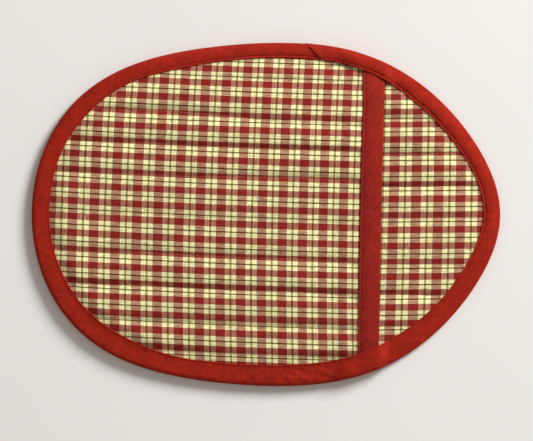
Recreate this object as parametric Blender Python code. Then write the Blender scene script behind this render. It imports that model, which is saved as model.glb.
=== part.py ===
"""Oval pot holder with a hand pocket.

A quilted pad, a thinner quilted panel over its wide end that makes the pocket, a folded bias
strip on the pocket's mouth, and a folded bias strip round the whole edge.

The frame is in metres with +Z up. The origin is on the table, under the middle of the oval.
+X runs along the oval to its narrow end, which the pocket's mouth faces.
"""

import bpy
import numpy as np
from mathutils import Vector
from mathutils.geometry import delaunay_2d_cdt

MM = 0.001
GAP = 0.3 * MM  # between one piece and the next
ARCH_GAP = 0.45 * MM  # the same on the arched mouth, where facets don't line up

# The oval, seen from above.
HALF_LENGTH = 136.2 * MM
OUTLINE_WAVES = (
    # waves round the edge, height: the first is the half width, the rest blunt the end at -X
    (1, 102.3 * MM),
    (2, -3.4 * MM),
    (3, 1.6 * MM),
    (4, -2.6 * MM),
    (5, -1.0 * MM),
)

# The sewn quilting lines. They run along X on the pad, and a little down to +X on the pocket.
QUILT_PITCH = 20.0 * MM
QUILT_START = -3.0 * MM
TOP_CHANNEL_REACH = 7.0 * MM  # from a sewn line to where the cloth is level again
UNDER_CHANNEL_REACH = 5.0 * MM  # leaves level bands between, which lie on the table
POCKET_GRAIN = 0.04  # fall of the pocket's lines for each unit of X
GRAIN_MEETS_X = 55.0 * MM  # where both sets of lines are at the same Y

# Binding tape: two layers of folded cotton.
TAPE = 0.9 * MM
MOUTH_TAPE = 0.8 * MM
FLAP_WIDTH = 9.6 * MM  # of the edge binding, on top
FLAP_WIDER_BELOW = 1.0 * MM  # towards -Y
FLAP_WIDER_LEFT = 0.4 * MM  # towards -X
UNDER_FLAP_WIDTH = 11.0 * MM
FOLD_DEPTH = 2.8 * MM  # of the binding's round outer fold
FOLD_ANGLES = (60.0, 30.0, 0.0, -30.0, -60.0)  # of the points round it
FOLD_SHOULDER = 1.5 * MM
FOLD_WALL = 1.2 * MM

# The pad. Depths are measured inwards from the outline.
PAD_EDGE = 2.7 * MM  # where its raw edge stops inside the fold
PINCHED_TO = 9.0 * MM  # depth of the binding's seam
CROWNED_AT = 27.0 * MM
PAD_RIM_Z = TAPE + GAP
PAD_RIM = 2.8 * MM
PAD_CROWN = 2.5 * MM
PAD_DROP = (12.5 * MM, 21.0 * MM)  # depths over which its underside comes down to the table
TOP_CHANNEL = 1.1 * MM
UNDER_CHANNEL = 0.7 * MM

# The pocket panel.
POCKET_RIM = 1.7 * MM
POCKET_BODY = 3.1 * MM
POCKET_CHANNEL = 0.9 * MM
POCKET_EASE = 0.5 * MM  # air over the pad, away from the rim
POCKET_LIFT = 5.6 * MM  # at the middle of the mouth
LIFT_DEPTHS = (11.0 * MM, 61.0 * MM)
LIFT_X = (-110.0 * MM, 40.0 * MM)
FULL_BEFORE_STRIP = 12.0 * MM  # how far from the strip the panel is at its full thickness
SEWN_BEFORE_STRIP = 8.0 * MM  # and its channels at their full depth
RAISED_BEFORE_STRIP = 16.0 * MM  # and where it starts to rise over the strip's lower flap

# The strip on the pocket's mouth: its fold runs nearly along Y, at MOUTH_X.
MOUTH_X = 67.0 * MM
MOUTH_LEAN = 0.0256
MOUTH_BOW = 0.6 * MM
MOUTH_BOW_AT = 80.0 * MM
STRIP_WIDTH = 12.2 * MM
STRIP_ROOM = MOUTH_TAPE + ARCH_GAP  # what its lower flap takes up under the panel
PANEL_BACK = 2.6 * MM  # from the strip's fold to the panel's edge
STRIP_END = 2.8 * MM  # depth at which its ends stop inside the edge binding

# Mesh spacing.
RING_POINTS = 68
RING_DEPTHS = (PAD_EDGE, 4.5 * MM, 9.0 * MM, 12.5 * MM)
ROWS_FROM = 15.5 * MM
ROW_OFFSETS = (-5.0 * MM, 0.0, 5.0 * MM, 10.0 * MM)  # from each sewn line
QUILT_LINES = range(-6, 7)
SWEEP_STEP = 0.25 * MM
SHORTEST_ROW = 60  # in sweep steps
ROW_SPACE = 6.0 * MM  # between the pocket's rows and the lines beside its mouth
CLEAR_OF_MOUTH = 3.0 * MM
PAD_COLUMNS = 13  # points in a row, closer together where the cloth bends down to the rim
PANEL_COLUMNS = 11
MOUTH_POINTS = 23
BINDING_STATIONS = 70
TURN = 2.0 * np.pi

PLAID = (0.42, 0.19, 0.12)
RUST = (0.27, 0.028, 0.018)


def smooth(value, start, end):
    """0 before start and 1 past end, with no corner."""
    share = np.clip((value - start) / (end - start), 0.0, 1.0)
    return share * share * (3.0 - 2.0 * share)


def outline(angle):
    x = HALF_LENGTH * np.cos(angle)
    y = sum(height * np.sin(waves * angle) for waves, height in OUTLINE_WAVES)
    return np.stack([x, y], axis=-1)


def inset(angle, depth):
    """The point this deep inside the outline, square to it."""
    step = 1e-4
    along = outline(angle + step) - outline(angle - step)
    along /= np.linalg.norm(along, axis=-1, keepdims=True)
    inward = np.stack([-along[..., 1], along[..., 0]], axis=-1)
    return outline(angle) + inward * np.asarray(depth)[..., None]


EDGE_ANGLES = np.linspace(0.0, TURN, 1440, endpoint=False)
EDGE = outline(EDGE_ANGLES)
EDGE_INWARD = inset(EDGE_ANGLES, np.ones(len(EDGE_ANGLES))) - EDGE


def depth_of(points):
    """How deep each point lies inside the outline, below 0 outside it."""
    apart = points[:, None, :] - EDGE[None, :, :]
    nearest = (apart**2).sum(axis=2).argmin(axis=1)
    offset = apart[np.arange(len(points)), nearest]
    return (offset * EDGE_INWARD[nearest]).sum(axis=1)


def mouth_x(y):
    """X of the fold of the strip on the pocket's mouth."""
    return MOUTH_X + MOUTH_LEAN * y + MOUTH_BOW * (y / MOUTH_BOW_AT) ** 2


def quilting(across, reach):
    """1 on a sewn line, 0 from this reach on to either side of it."""
    half = QUILT_PITCH / 2.0
    off_line = np.abs((across - QUILT_START + half) % QUILT_PITCH - half)
    return 0.5 + 0.5 * np.cos(np.pi * np.minimum(off_line / reach, 1.0))


def across_pocket(points):
    """Y of the pad's grain line that meets the pocket's grain line through each point."""
    return points[:, 1] + POCKET_GRAIN * (points[:, 0] - GRAIN_MEETS_X)


def rounded(depth):
    """Share of the rim's thickness at this depth: the raw edge is thinner."""
    return 0.6 + 0.4 * smooth(depth, PAD_EDGE, PAD_EDGE + 1.8 * MM)


def pad_under(points):
    depth = depth_of(points)
    rim = PAD_RIM_Z + 0.5 * PAD_RIM * (1.0 - rounded(depth))
    down = smooth(depth, *PAD_DROP)
    return rim * (1.0 - down) + UNDER_CHANNEL * quilting(points[:, 1], UNDER_CHANNEL_REACH) * down


def pad_crown(points):
    """The pad's top with no quilting sewn in and a full rim."""
    return PAD_RIM_Z + PAD_RIM + PAD_CROWN * smooth(depth_of(points), PINCHED_TO, CROWNED_AT)


def pad_top(points):
    depth = depth_of(points)
    sewn = TOP_CHANNEL * quilting(points[:, 1], TOP_CHANNEL_REACH) * smooth(depth, *PAD_DROP)
    return pad_crown(points) - sewn - 0.5 * PAD_RIM * (1.0 - rounded(depth))


def pocket_under(points):
    depth = depth_of(points)
    x, y = points[:, 0], points[:, 1]
    ease = POCKET_EASE * smooth(depth, PINCHED_TO - MM, PINCHED_TO + 7.0 * MM)
    lift = POCKET_LIFT * smooth(depth, *LIFT_DEPTHS) * smooth(x, *LIFT_X)
    flap_edge = mouth_x(y) - STRIP_WIDTH
    over_strip = STRIP_ROOM * smooth(x, flap_edge - RAISED_BEFORE_STRIP, flap_edge - 3.0 * MM)
    return pad_crown(points) + GAP + ease + lift + over_strip


def panel_thickness(points):
    """The panel's thickness with no quilting sewn in and a full rim."""
    flap_edge = mouth_x(points[:, 1]) - STRIP_WIDTH
    full = smooth(depth_of(points), PINCHED_TO, CROWNED_AT)
    full *= 1.0 - smooth(points[:, 0], flap_edge - FULL_BEFORE_STRIP, flap_edge)
    return POCKET_RIM + (POCKET_BODY - POCKET_RIM) * full


def pocket_top(points):
    depth = depth_of(points)
    flap_edge = mouth_x(points[:, 1]) - STRIP_WIDTH
    free = smooth(depth, *PAD_DROP)
    free *= 1.0 - smooth(points[:, 0], flap_edge - SEWN_BEFORE_STRIP, flap_edge)
    sewn = POCKET_CHANNEL * quilting(across_pocket(points), TOP_CHANNEL_REACH) * free
    return pocket_under(points) + panel_thickness(points) * rounded(depth) - sewn


def cloth_material(name, colour, roughness):
    material = bpy.data.materials.new(name)
    material.use_nodes = True
    shader = material.node_tree.nodes["Principled BSDF"]
    shader.inputs["Base Color"].default_value = (*colour, 1.0)
    shader.inputs["Roughness"].default_value = roughness
    shader.inputs["Metallic"].default_value = 0.0
    return material


def add_object(name, vertices, faces, material):
    mesh = bpy.data.meshes.new(name)
    mesh.from_pydata([tuple(map(float, v)) for v in vertices], [], faces)
    mesh.validate()
    mesh.shade_smooth()
    mesh.materials.append(material)
    piece = bpy.data.objects.new(name, mesh)
    bpy.context.scene.collection.objects.link(piece)
    return piece


def grain_rows(fall, right_end, spread):
    """Rows of points on every sewn line, on its shoulders, and midway to the next.

    spread holds the share of the way along a row of each of its points.
    """
    rows = []
    sweep = np.arange(-HALF_LENGTH, HALF_LENGTH, SWEEP_STEP)
    for line in QUILT_LINES:
        for offset in ROW_OFFSETS:
            at_meeting = QUILT_START + line * QUILT_PITCH + offset
            track = np.stack([sweep, at_meeting - fall * (sweep - GRAIN_MEETS_X)], axis=1)
            inside = (depth_of(track) > ROWS_FROM) & (sweep < right_end(track[:, 1]))
            if inside.sum() < SHORTEST_ROW:
                continue
            first, last = track[inside][0], track[inside][-1]
            rows.append(first + (last - first) * spread[:, None])
    return rows


def plan_of(border, lines):
    """A triangulated flat plan: its border, and lines of points inside it whose edges are kept."""
    points, edges = list(map(tuple, border)), []
    for line in lines:
        first = len(points)
        points += map(tuple, line)
        edges += [(first + i, first + i + 1) for i in range(len(line) - 1)]
    flat = [Vector((x / MM, y / MM)) for x, y in points]
    found = delaunay_2d_cdt(flat, edges, [list(range(len(border)))], 1, 1e-4)
    plan = np.array([tuple(p) for p in found[0]]) * MM
    return plan, [tuple(face) for face in found[2]]


def border_edges(faces):
    """The edges of one face only, in that face's own direction."""
    ends = [(f[i], f[(i + 1) % 3]) for f in faces for i in range(3)]
    shared = set(ends)
    return [(a, b) for a, b in ends if (b, a) not in shared]


def filled_solid(name, plan, faces, top, under, material):
    """A closed solid between two height functions over one plan."""
    count = len(plan)
    low = np.column_stack([plan, under(plan)])
    high = np.column_stack([plan, top(plan)])
    solid = [tuple(face[::-1]) for face in faces]
    solid += [tuple(i + count for i in face) for face in faces]
    solid += [(a, b, b + count, a + count) for a, b in border_edges(faces)]
    return add_object(name, np.vstack([low, high]), solid, material)


def loft(name, sections, closed, material):
    """A closed solid through sections of equal length, joined end to end or capped."""
    count, size = len(sections), len(sections[0])
    vertices = np.vstack(sections)
    faces = []
    for i in range(count if closed else count - 1):
        here, after = i * size, (i + 1) % count * size
        for j in range(size):
            k = (j + 1) % size
            faces.append((here + j, here + k, after + k, after + j))
    if not closed:
        faces.append(tuple(range(size))[::-1])
        faces.append(tuple(range((count - 1) * size, count * size)))
    return add_object(name, vertices, faces, material)


def make_base_pad(material):
    angles = np.linspace(0.0, TURN, RING_POINTS + 1)
    rings = [inset(angles, np.full(RING_POINTS + 1, depth)) for depth in RING_DEPTHS]
    spread = 0.5 + 0.5 * np.sin(np.linspace(-np.pi / 2.0, np.pi / 2.0, PAD_COLUMNS))
    rows = grain_rows(0.0, lambda y: HALF_LENGTH, spread)
    plan, faces = plan_of(rings[0][:-1], rings[1:] + rows)
    return filled_solid("base_pad", plan, faces, pad_top, pad_under, material)


def panel_edge_x(y):
    return mouth_x(y) - PANEL_BACK


def mouth_reach(x_of_y, depth, side):
    """The Y at which a line near the mouth comes to this depth, towards +Y or -Y."""
    low, high = 0.0, OUTLINE_WAVES[0][1] * 0.97
    for _ in range(30):
        y = 0.5 * (low + high)
        here = np.array([[x_of_y(side * y), side * y]])
        if depth_of(here)[0] > depth:
            low = y
        else:
            high = y
    return side * low


def make_pocket_panel(material):
    low_y, high_y = (mouth_reach(panel_edge_x, PAD_EDGE, side) for side in (-1.0, 1.0))
    mouth_ys = np.linspace(low_y, high_y, MOUTH_POINTS)
    mouth = np.stack([panel_edge_x(mouth_ys), mouth_ys], axis=1)
    angles = np.linspace(0.0, TURN, RING_POINTS, endpoint=False)
    rings = []
    for depth in RING_DEPTHS:
        ring = inset(angles, np.full(RING_POINTS, depth))
        rings.append(ring[ring[:, 0] < panel_edge_x(ring[:, 1]) - CLEAR_OF_MOUTH])
    under_strip = STRIP_WIDTH - PANEL_BACK
    beside_mouth = []
    for back in (0.5 * under_strip, under_strip, under_strip + FULL_BEFORE_STRIP):
        ys = mouth_ys[2:-2]
        beside_mouth.append(np.stack([panel_edge_x(ys) - back, ys], axis=1))
    row_end = under_strip + FULL_BEFORE_STRIP + ROW_SPACE
    spread = 1.0 - np.cos(np.linspace(0.0, np.pi / 2.0, PANEL_COLUMNS))
    rows = grain_rows(POCKET_GRAIN, lambda y: panel_edge_x(y) - row_end, spread)
    plan, faces = plan_of(np.vstack([rings[0], mouth]), rings[1:] + beside_mouth + rows)
    return filled_solid("pocket_panel", plan, faces, pocket_top, pocket_under, material)


def strip_heights(point):
    """Heights of the strip's section where its fold, or the panel inside it, is at this point."""
    under = pocket_under(point)[0] - ARCH_GAP
    over = under + panel_thickness(point)[0] + 2.0 * ARCH_GAP
    middle = 0.5 * (over + under)
    bulge = 0.62 * (middle - under + MOUTH_TAPE)
    return {
        "over_outer": over + MOUTH_TAPE,
        "over_inner": over,
        "fold_high": middle + bulge,
        "middle": middle,
        "fold_low": middle - bulge,
        "under_inner": under,
        "under_outer": under - MOUTH_TAPE,
    }


STRIP_LAYOUT = (
    # distance back from the fold, height on the section
    (STRIP_WIDTH, "over_inner"),
    (STRIP_WIDTH, "over_outer"),
    (STRIP_WIDTH * 0.55, "over_outer"),
    (2.2 * MM, "over_outer"),
    (0.6 * MM, "fold_high"),
    (0.0, "middle"),
    (0.6 * MM, "fold_low"),
    (2.2 * MM, "under_outer"),
    (STRIP_WIDTH * 0.55, "under_outer"),
    (STRIP_WIDTH, "under_outer"),
    (STRIP_WIDTH, "under_inner"),
    (STRIP_WIDTH * 0.55, "under_inner"),
    (2.2 * MM, "under_inner"),
    (1.3 * MM, "middle"),
    (2.2 * MM, "over_inner"),
    (STRIP_WIDTH * 0.55, "over_inner"),
)


def strip_section(share):
    """One section of the strip, at a share of the way along it from its end at -Y."""
    points = []
    for back, place in STRIP_LAYOUT:
        low, high = STRIP_REACH[back]
        y = low + (high - low) * share
        held = np.array([[mouth_x(y) - max(back, PANEL_BACK), y]])
        points.append((mouth_x(y) - back, y, strip_heights(held)[place]))
    return np.array(points)


STRIP_REACH = {
    back: [mouth_reach(lambda y, back=back: mouth_x(y) - back, STRIP_END, side) for side in (-1.0, 1.0)]
    for back, _ in STRIP_LAYOUT
}


def make_mouth_binding(material):
    sections = [strip_section(share) for share in np.linspace(0.0, 1.0, MOUTH_POINTS)]
    return loft("mouth_binding", sections, False, material)


FLAP_STEPS = (
    # distance from the fold of the mouth's strip, share of the panel's height, share of the strip's
    (-34.0 * MM, 1.0, 0.0),
    (-17.0 * MM, 1.0, 1.0),
    (3.0 * MM, 1.0, 1.0),
    (14.0 * MM, 0.0, 0.0),
)


def stack_under_flap(points):
    """Height of all that the edge binding's top flap lies on."""
    pad = pad_crown(points)
    panel = pocket_under(points) + panel_thickness(points) - pad
    strip = STRIP_ROOM
    at, panel_share, strip_share = (np.array(column) for column in zip(*FLAP_STEPS))
    from_fold = points[:, 0] - mouth_x(points[:, 1])
    panel_here = panel * np.interp(from_fold, at, panel_share)
    strip_here = strip * np.interp(from_fold, at, strip_share)
    return pad + panel_here + strip_here


def binding_section(angle):
    """One section of the edge binding as points X, Y, Z, from its inner top edge round and back."""
    width = FLAP_WIDTH - FLAP_WIDER_BELOW * np.sin(angle) - FLAP_WIDER_LEFT * np.cos(angle)
    flap = np.array([width, 0.72 * width, 0.45 * width, FOLD_DEPTH])
    over = stack_under_flap(inset(angle, flap)) + ARCH_GAP
    high = over[-1] + TAPE
    room = over[-1] - TAPE
    fold_angles = np.radians(FOLD_ANGLES)
    fold_depths = FOLD_DEPTH * (1.0 - np.cos(fold_angles))
    fold_heights = 0.5 * high * (1.0 + np.sin(fold_angles))
    depths = [*flap, *fold_depths, FOLD_DEPTH, UNDER_FLAP_WIDTH, UNDER_FLAP_WIDTH]
    heights = [*(over + TAPE), *fold_heights, 0.0, 0.0, TAPE]
    depths += [FOLD_DEPTH, FOLD_SHOULDER, FOLD_WALL, FOLD_SHOULDER, *flap[::-1]]
    heights += [TAPE, TAPE + 0.2 * room, 0.5 * high, over[-1] - 0.2 * room, *over[::-1]]
    return np.column_stack([inset(angle, np.array(depths)), heights])


def make_edge_binding(material):
    angles = list(np.linspace(0.0, TURN, BINDING_STATIONS, endpoint=False))
    for side in (-1.0, 1.0):
        for past_fold in (-17.0, -12.0, -6.0, 0.0, 3.0, 8.5, 14.0):
            cosine = (MOUTH_X + past_fold * MM + MOUTH_LEAN * side * 90.0 * MM) / HALF_LENGTH
            angles.append(side * np.arccos(cosine) % TURN)
    angles.sort()
    kept = [a for i, a in enumerate(angles) if i == 0 or a - angles[i - 1] > 0.012]
    sections = [binding_section(angle) for angle in kept]
    return loft("edge_binding", sections, True, material)


def main():
    for item in list(bpy.data.objects):
        bpy.data.objects.remove(item, do_unlink=True)
    plaid_pad = cloth_material("plaid_pad", PLAID, 0.9)
    plaid_pocket = cloth_material("plaid_pocket", PLAID, 0.9)
    rust_edge = cloth_material("rust_edge", RUST, 0.85)
    rust_mouth = cloth_material("rust_mouth", RUST, 0.85)
    make_base_pad(plaid_pad)
    make_pocket_panel(plaid_pocket)
    make_mouth_binding(rust_mouth)
    make_edge_binding(rust_edge)


main()
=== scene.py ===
"""Looks for the oval pot holder: quilted plaid pad and pocket, and rust cotton binding.

Lengths are in metres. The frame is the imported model's: +X to the narrow end, +Z up.
"""

import bpy
import numpy as np
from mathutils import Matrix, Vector


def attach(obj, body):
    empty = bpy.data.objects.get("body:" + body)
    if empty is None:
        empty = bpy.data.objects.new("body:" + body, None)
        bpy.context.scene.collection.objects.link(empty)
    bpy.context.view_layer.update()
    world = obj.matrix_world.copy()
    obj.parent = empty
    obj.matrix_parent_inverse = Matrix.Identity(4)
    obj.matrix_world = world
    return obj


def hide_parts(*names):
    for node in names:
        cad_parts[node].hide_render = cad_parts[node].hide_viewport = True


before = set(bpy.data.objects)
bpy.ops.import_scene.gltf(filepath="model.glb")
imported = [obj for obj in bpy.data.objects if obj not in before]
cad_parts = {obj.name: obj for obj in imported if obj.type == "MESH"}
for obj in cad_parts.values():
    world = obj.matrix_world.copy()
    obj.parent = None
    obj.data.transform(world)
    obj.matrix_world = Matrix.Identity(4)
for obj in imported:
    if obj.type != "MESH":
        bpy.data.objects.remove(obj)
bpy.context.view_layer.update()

MM = 0.001
TURN = 2.0 * np.pi

# ---------------------------------------------------------------- sizes shared with the CAD part
HALF_LENGTH = 136.2 * MM
OUTLINE_WAVES = ((1, 102.3 * MM), (2, -3.4 * MM), (3, 1.6 * MM), (4, -2.6 * MM), (5, -1.0 * MM))
QUILT_PITCH = 20.0 * MM
QUILT_START = -3.0 * MM
POCKET_GRAIN = 0.04  # fall of the pocket's lines for each unit of X
GRAIN_MEETS_X = 55.0 * MM  # where the lines of pad and pocket are at the same Y
FLAP_WIDTH = 9.6 * MM  # of the edge binding, on top
FLAP_WIDER_BELOW = 1.0 * MM  # towards -Y
FLAP_WIDER_LEFT = 0.4 * MM  # towards -X
UNDER_FLAP_WIDTH = 11.0 * MM
FOLD_DEPTH = 2.8 * MM  # of the binding's round outer fold
PAD_EDGE = 2.7 * MM  # where a panel's raw edge stops inside the fold
PINCHED_TO = 9.0 * MM  # depth of the binding's seam
PAD_RIM_Z = 1.2 * MM
PAD_RIM = 2.8 * MM
PAD_DROP = (12.5 * MM, 21.0 * MM)  # depths over which its underside comes down to the table
POCKET_RIM = 1.7 * MM
POCKET_EASE = 0.5 * MM  # air over the pad, away from the rim
POCKET_LIFT = 5.6 * MM  # at the middle of the mouth
LIFT_DEPTHS = (11.0 * MM, 61.0 * MM)
LIFT_X = (-110.0 * MM, 40.0 * MM)
FULL_BEFORE_STRIP = 12.0 * MM  # how far from the strip the panel is at its full thickness
MOUTH_BOW = 0.6 * MM
MOUTH_BOW_AT = 80.0 * MM
STRIP_WIDTH = 12.2 * MM
STRIP_ROOM = 1.25 * MM  # what the strip's lower flap takes up under the panel
STRIP_RISE = (-16.0 * MM, -3.0 * MM)  # from the strip's edge: where the panel rises over that flap
PANEL_BACK = 2.6 * MM  # from the mouth's fold to the panel's edge
STRIP_END = 2.8 * MM  # depth at which the strip's ends stop inside the edge binding
CLEARANCE = 0.3 * MM

# ---------------------------------------------------------------- sizes a little off the CAD's
CROWNED_AT = 20.0 * MM  # depth at which the panels are at their full height; 27 mm in the CAD
PAD_CROWN = 1.7 * MM  # 2.5 mm in the CAD
POCKET_BODY = 2.7 * MM  # 3.1 mm in the CAD
MOUTH_X = 66.75 * MM  # 67 mm in the CAD
MOUTH_LEAN = 0.0226  # 0.0256 in the CAD

# ---------------------------------------------------------------- sizes of the looks alone
CLOTH = 0.36 * MM  # thickness of the binding's cotton
LAYER = CLOTH + 0.05 * MM  # from the middle of one layer of it to the next
HEM = 0.5 * LAYER  # radius of its turned-in edges
FLAP_GAP = 0.1 * MM  # between the edge binding and what it lies on
STRIP_GAP = 0.12 * MM  # the same for the mouth's strip
STRIP_FOLD = 1.9 * MM  # depth of the strip's round front
STRIP_WIDER = 0.07  # share by which it is wider near its +Y end
SEAM_IN = 1.25 * MM  # from a binding's turned-in edge to its row of stitches
GROOVE_REACH = 0.42 * MM  # half the width of the dent along that row
FLAP_PUFF = 0.2  # in mm: how far the edge binding's top swells
PUFF_UNEVEN = 0.2  # in mm: how much more it does on one side of the oval, and less on the other
FLAP_GATHERS = 0.2  # in mm: height of its gathers
FLAP_PRESSED = 0.26  # in mm: depth of the groove along its stitches
PRESSED_UNEVEN = 0.16  # in mm: how much that differs round the oval
STRIP_PUFF = 0.62  # in mm: the same swelling of the mouth's strip
STRIP_RIPPLES = 0.07  # in mm
TURNED_IN_TO = 0.42  # share of its width to which the top flap's cloth is turned in
UNDER_TURNED_TO = 4.5 * MM  # depth to which the lower flap's is
STRIP_TURNED_TO = 5.2 * MM  # how near the strip's own fold its turned-in cloth comes
STITCH_PITCH = 2.45 * MM
STITCH_LENGTH = 1.95 * MM
EDGE_STITCH_LENGTH = 1.15 * MM
THREAD = 0.2 * MM
MOUTH_THREAD = 0.28 * MM
QUILT_THREAD = 0.11 * MM
STITCHED_FROM = 8.5 * MM  # depth at which the quilting comes out from under the binding
THINNEST = 0.5 * MM  # the pocket panel where a sewn line has squashed it most
EDGE_TAPER = (0.9 * MM, 0.6 * MM)  # how much thinner the layers are at the very edge, and how unevenly
TAPER_TURN = np.radians(35.0)  # where the edge is thinnest
THINNED_TO = 8.5 * MM  # depth at which the layers are thick again
FLAP_RISE = (-34.0 * MM, -17.0 * MM)  # from the mouth's fold: where the edge binding climbs over the strip
FLAP_STEP = (-0.5 * MM, 6.0 * MM)  # and where it steps down to the pad
CREASE_REACH = (2.6 * MM, 1.6 * MM)  # how far a quilted line's crease goes towards -Y and +Y
VALLEY_REACH = (9.5 * MM, 5.5 * MM)  # and the valley round it
UNDER_REACH = 5.0 * MM  # the same on the underside
PAD_SEWN = (0.75 * MM, 0.95 * MM)  # depth of that crease and of that valley, for a line as deep as 1
POCKET_SEWN = (0.8 * MM, 0.95 * MM)
UNDER_SEWN = 0.5 * MM
DIMPLE = 0.12 * MM  # how far a stitch pulls the cloth down
UNDER_DIMPLE = 0.1 * MM
QUILTING_PROUD = 0.05 * MM  # how far the middle of a quilting stitch is above the cloth
EDGE_SUNK = 0.12 * MM  # how far the edge binding's stitches are below the middle of its top layer
MOUTH_SUNK = 0.1 * MM  # the same for the mouth's strip
UNDER_SEAM_Z = 0.1 * MM  # of the edge binding's stitches on the table side
PAD_TAKE_UP = ((-23, 0.45), (-3, 0.4), (17, 0.5), (37, 1.0), (57, 0.5))  # line, mm of cloth hidden in it
POCKET_TAKE_UP = 0.32
UNDER_TAKE_UP = 0.4
ROW_OFFSETS = (0, 0.35, 0.7, 1.1, 1.6, 2.2, 2.9, 3.8, 4.9, 6.1, 7.4, 8.7)  # mesh rows, in mm from a line

# Each quilted line: its place in the CAD, how far off it really runs at the left and right in mm, how deep.
PAD_LINES = (
    (-83, 0.0, 0.0, 0.6),
    (-63, -2.2, -2.2, 0.5),
    (-43, -3.0, -5.6, 1.0),
    (-23, -6.1, -6.1, 0.5),
    (-3, 0.6, 0.6, 0.5),
    (17, -0.8, -0.8, 1.3),
    (37, -1.7, -1.7, 1.25),
    (57, -1.5, -1.5, 1.25),
    (77, 0.0, 0.0, 0.5),
)
POCKET_LINES = (
    (-83, -1.0, -1.0, 0.7),
    (-63, -3.4, -3.8, 0.85),
    (-43, -3.4, -3.9, 1.35),
    (-23, -4.2, -5.0, 0.95),
    (-3, -2.0, -2.0, 0.35),
    (17, 0.9, 2.8, 0.85),
    (37, -1.0, -0.6, 1.25),
    (57, -1.8, -4.7, 1.4),
    (77, -0.5, -0.5, 0.6),
)
PAD_TURNS = (60.0 * MM, 125.0 * MM)  # where a line goes from its left place to its right one
POCKET_TURNS = (-60.0 * MM, 20.0 * MM)

# ---------------------------------------------------------------- how fine the meshes are
PANEL_COLUMNS = 172
EDGE_STATIONS = 470
MOUTH_STATIONS = 150
POINTS_AT_ONCE = 4000  # measured for depth together, to save memory


def smooth(value, start, end):
    share = np.clip((value - start) / (end - start), 0.0, 1.0)
    return share * share * (3.0 - 2.0 * share)


def outline(angle):
    x = HALF_LENGTH * np.cos(angle)
    y = sum(height * np.sin(waves * angle) for waves, height in OUTLINE_WAVES)
    return np.stack([x, y], axis=-1)


def inward(angle):
    step = 1e-4
    along = outline(angle + step) - outline(angle - step)
    along /= np.linalg.norm(along, axis=-1, keepdims=True)
    return np.stack([-along[..., 1], along[..., 0]], axis=-1)


def inset(angle, depth):
    return outline(angle) + inward(angle) * np.asarray(depth)[..., None]


EDGE_ANGLES = np.linspace(0.0, TURN, 1440, endpoint=False)
EDGE = outline(EDGE_ANGLES)
EDGE_INWARD = inward(EDGE_ANGLES)


def depth_of(points):
    """How deep each point lies inside the outline, below 0 outside it."""
    points = np.asarray(points)
    flat = points.reshape(-1, points.shape[-1])[:, :2]
    depths = np.empty(len(flat))
    for first in range(0, len(flat), POINTS_AT_ONCE):
        part = flat[first : first + POINTS_AT_ONCE]
        nearness = part @ EDGE.T - 0.5 * (EDGE**2).sum(axis=1)
        nearest = nearness.argmax(axis=1)
        depths[first : first + len(part)] = ((part - EDGE[nearest]) * EDGE_INWARD[nearest]).sum(axis=1)
    return depths.reshape(points.shape[:-1])


def mouth_x(y):
    return MOUTH_X + MOUTH_LEAN * y + MOUTH_BOW * (y / MOUTH_BOW_AT) ** 2


def edge_taper(points):
    """How much the layers thin out at the edge nearest to each point."""
    turn = np.arctan2(points[..., 1] / OUTLINE_WAVES[0][1], points[..., 0] / HALF_LENGTH)
    return EDGE_TAPER[0] + EDGE_TAPER[1] * np.cos(turn - TAPER_TURN)


def pad_crown(points, depth):
    """The pad's top with no quilting. Its edge is flattened by the binding sewn over it."""
    flattened = edge_taper(points) * np.clip(1.0 - depth / THINNED_TO, 0.0, 1.0) ** 3.2
    return PAD_RIM_Z + PAD_RIM + PAD_CROWN * smooth(depth, PINCHED_TO, CROWNED_AT) - flattened


def pocket_under(points, depth):
    x, y = points[..., 0], points[..., 1]
    ease = POCKET_EASE * smooth(depth, 8.0 * MM, 16.0 * MM)
    lift = POCKET_LIFT * smooth(depth, *LIFT_DEPTHS) * smooth(x, *LIFT_X)
    over_strip = STRIP_ROOM * smooth(x - mouth_x(y) + STRIP_WIDTH, *STRIP_RISE)
    return pad_crown(points, depth) + CLEARANCE + ease + lift + over_strip


def panel_thickness(points, depth):
    from_strip = points[..., 0] - mouth_x(points[..., 1]) + STRIP_WIDTH
    full = smooth(depth, PINCHED_TO, CROWNED_AT) * (1.0 - smooth(from_strip, -FULL_BEFORE_STRIP, 0.0))
    return POCKET_RIM + (POCKET_BODY - POCKET_RIM) * full


def stack_under_flap(points):
    """Height of all that the edge binding's top flap lies on."""
    depth = depth_of(points)
    pad = pad_crown(points, depth)
    panel = pocket_under(points, depth) + panel_thickness(points, depth) - pad
    from_fold = points[..., 0] - mouth_x(points[..., 1])
    strip = STRIP_ROOM * smooth(from_fold, *FLAP_RISE)
    return pad + (panel + strip) * (1.0 - smooth(from_fold, *FLAP_STEP))


def waves(points, length, seed, count=7):
    """Smooth unevenness of about -1 to 1 with this wavelength, the same on every run."""
    draw = np.random.default_rng(seed)
    total = 0.0
    for _ in range(count):
        turn, phase = draw.uniform(0.0, TURN, 2)
        pace = TURN / (length * draw.uniform(0.7, 1.4))
        along = points[..., 0] * np.cos(turn) + points[..., 1] * np.sin(turn)
        total = total + np.sin(pace * along + phase)
    return total / (1.4 * count) ** 0.5


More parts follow.
